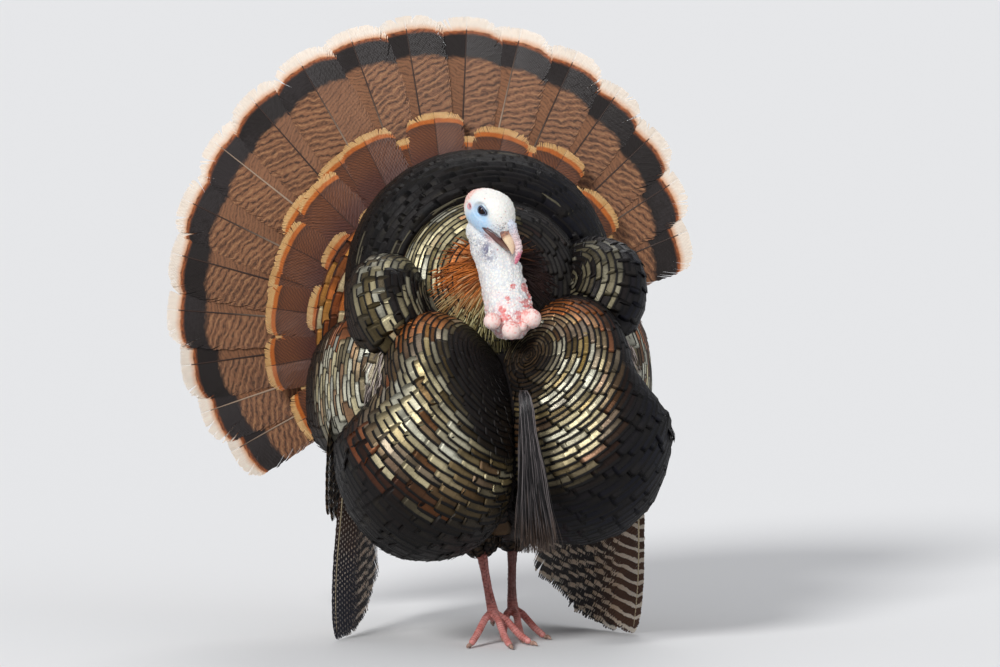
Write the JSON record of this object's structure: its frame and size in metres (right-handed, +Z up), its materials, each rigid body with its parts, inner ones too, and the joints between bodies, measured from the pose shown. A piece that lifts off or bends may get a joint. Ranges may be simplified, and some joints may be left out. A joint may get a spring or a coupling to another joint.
{
  "type": "wild turkey cock in full strut",
  "caption": "Life-size still figure of a male wild turkey in full strut, with fanned tail, puffed breast, drooped wings, beard and bare head turned aside.",
  "frame": {"origin": "middle of the bounding box at floor level, where the toes and wing tips stand", "axes": "+Z up; the bird faces -Y with its tail towards +Y; +X is to the bird's left"},
  "size_m": [0.7014, 0.6082, 0.7943],
  "materials": {
    "breast_coat": "satin, bronze with black edges",
    "gold_coat": "satin, brassy",
    "dark_coat": "satin, near black",
    "rump_coat": "satin, golden copper",
    "body_down": "soft, brown and black bars",
    "wing_quills": "matt, barred with white",
    "tail_quills": "matt, finely barred, black band and pale tip",
    "beard_bristle": "coarse bristle",
    "bare_skin": "pebbled, soft sheen",
    "wattle_skin": "pebbled, soft sheen",
    "leg_scutes": "scaled, low sheen",
    "bill_horn": "horn, low sheen",
    "claw_horn": "horn, polished",
    "eye": "wet and glossy"
  },
  "bodies": {
    "root": {"eye_left": "eye", "breast_left": "breast_coat", "shoulder_left": "gold_coat", "wing_coverts_left": "gold_coat", "wing_secondaries_left": "wing_quills", "wing_primaries_left": "wing_quills", "leg_left": "leg_scutes", "spur_left": "claw_horn", "thigh_left": "body_down", "claw_left_1": "claw_horn", "claw_left_2": "claw_horn", "claw_left_3": "claw_horn", "claw_left_4": "claw_horn", "eye_right": "eye", "breast_right": "breast_coat", "shoulder_right": "gold_coat", "wing_coverts_right": "gold_coat", "wing_secondaries_right": "wing_quills", "wing_primaries_right": "wing_quills", "leg_right": "leg_scutes", "spur_right": "claw_horn", "thigh_right": "body_down", "claw_right_1": "claw_horn", "claw_right_2": "claw_horn", "claw_right_3": "claw_horn", "claw_right_4": "claw_horn", "upper_bill": "bill_horn", "lower_bill": "bill_horn", "snood": "wattle_skin", "head": "bare_skin", "neck": "bare_skin", "neck_ruff": "gold_coat", "mantle": "dark_coat", "rump": "rump_coat", "trunk": "body_down", "undertail": "body_down", "tail_base": "rump_coat", "tail_coverts_long": "rump_coat", "tail_coverts_short": "rump_coat", "beard": "beard_bristle", "tail_feather_01": "tail_quills", "tail_feather_02": "tail_quills", "tail_feather_03": "tail_quills", "tail_feather_04": "tail_quills", "tail_feather_05": "tail_quills", "tail_feather_06": "tail_quills", "tail_feather_07": "tail_quills", "tail_feather_08": "tail_quills", "tail_feather_09": "tail_quills", "tail_feather_10": "tail_quills", "tail_feather_11": "tail_quills", "tail_feather_12": "tail_quills", "tail_feather_13": "tail_quills", "tail_feather_14": "tail_quills", "tail_feather_15": "tail_quills", "tail_feather_16": "tail_quills", "tail_feather_17": "tail_quills", "tail_feather_18": "tail_quills"}
  },
  "joints": []
}
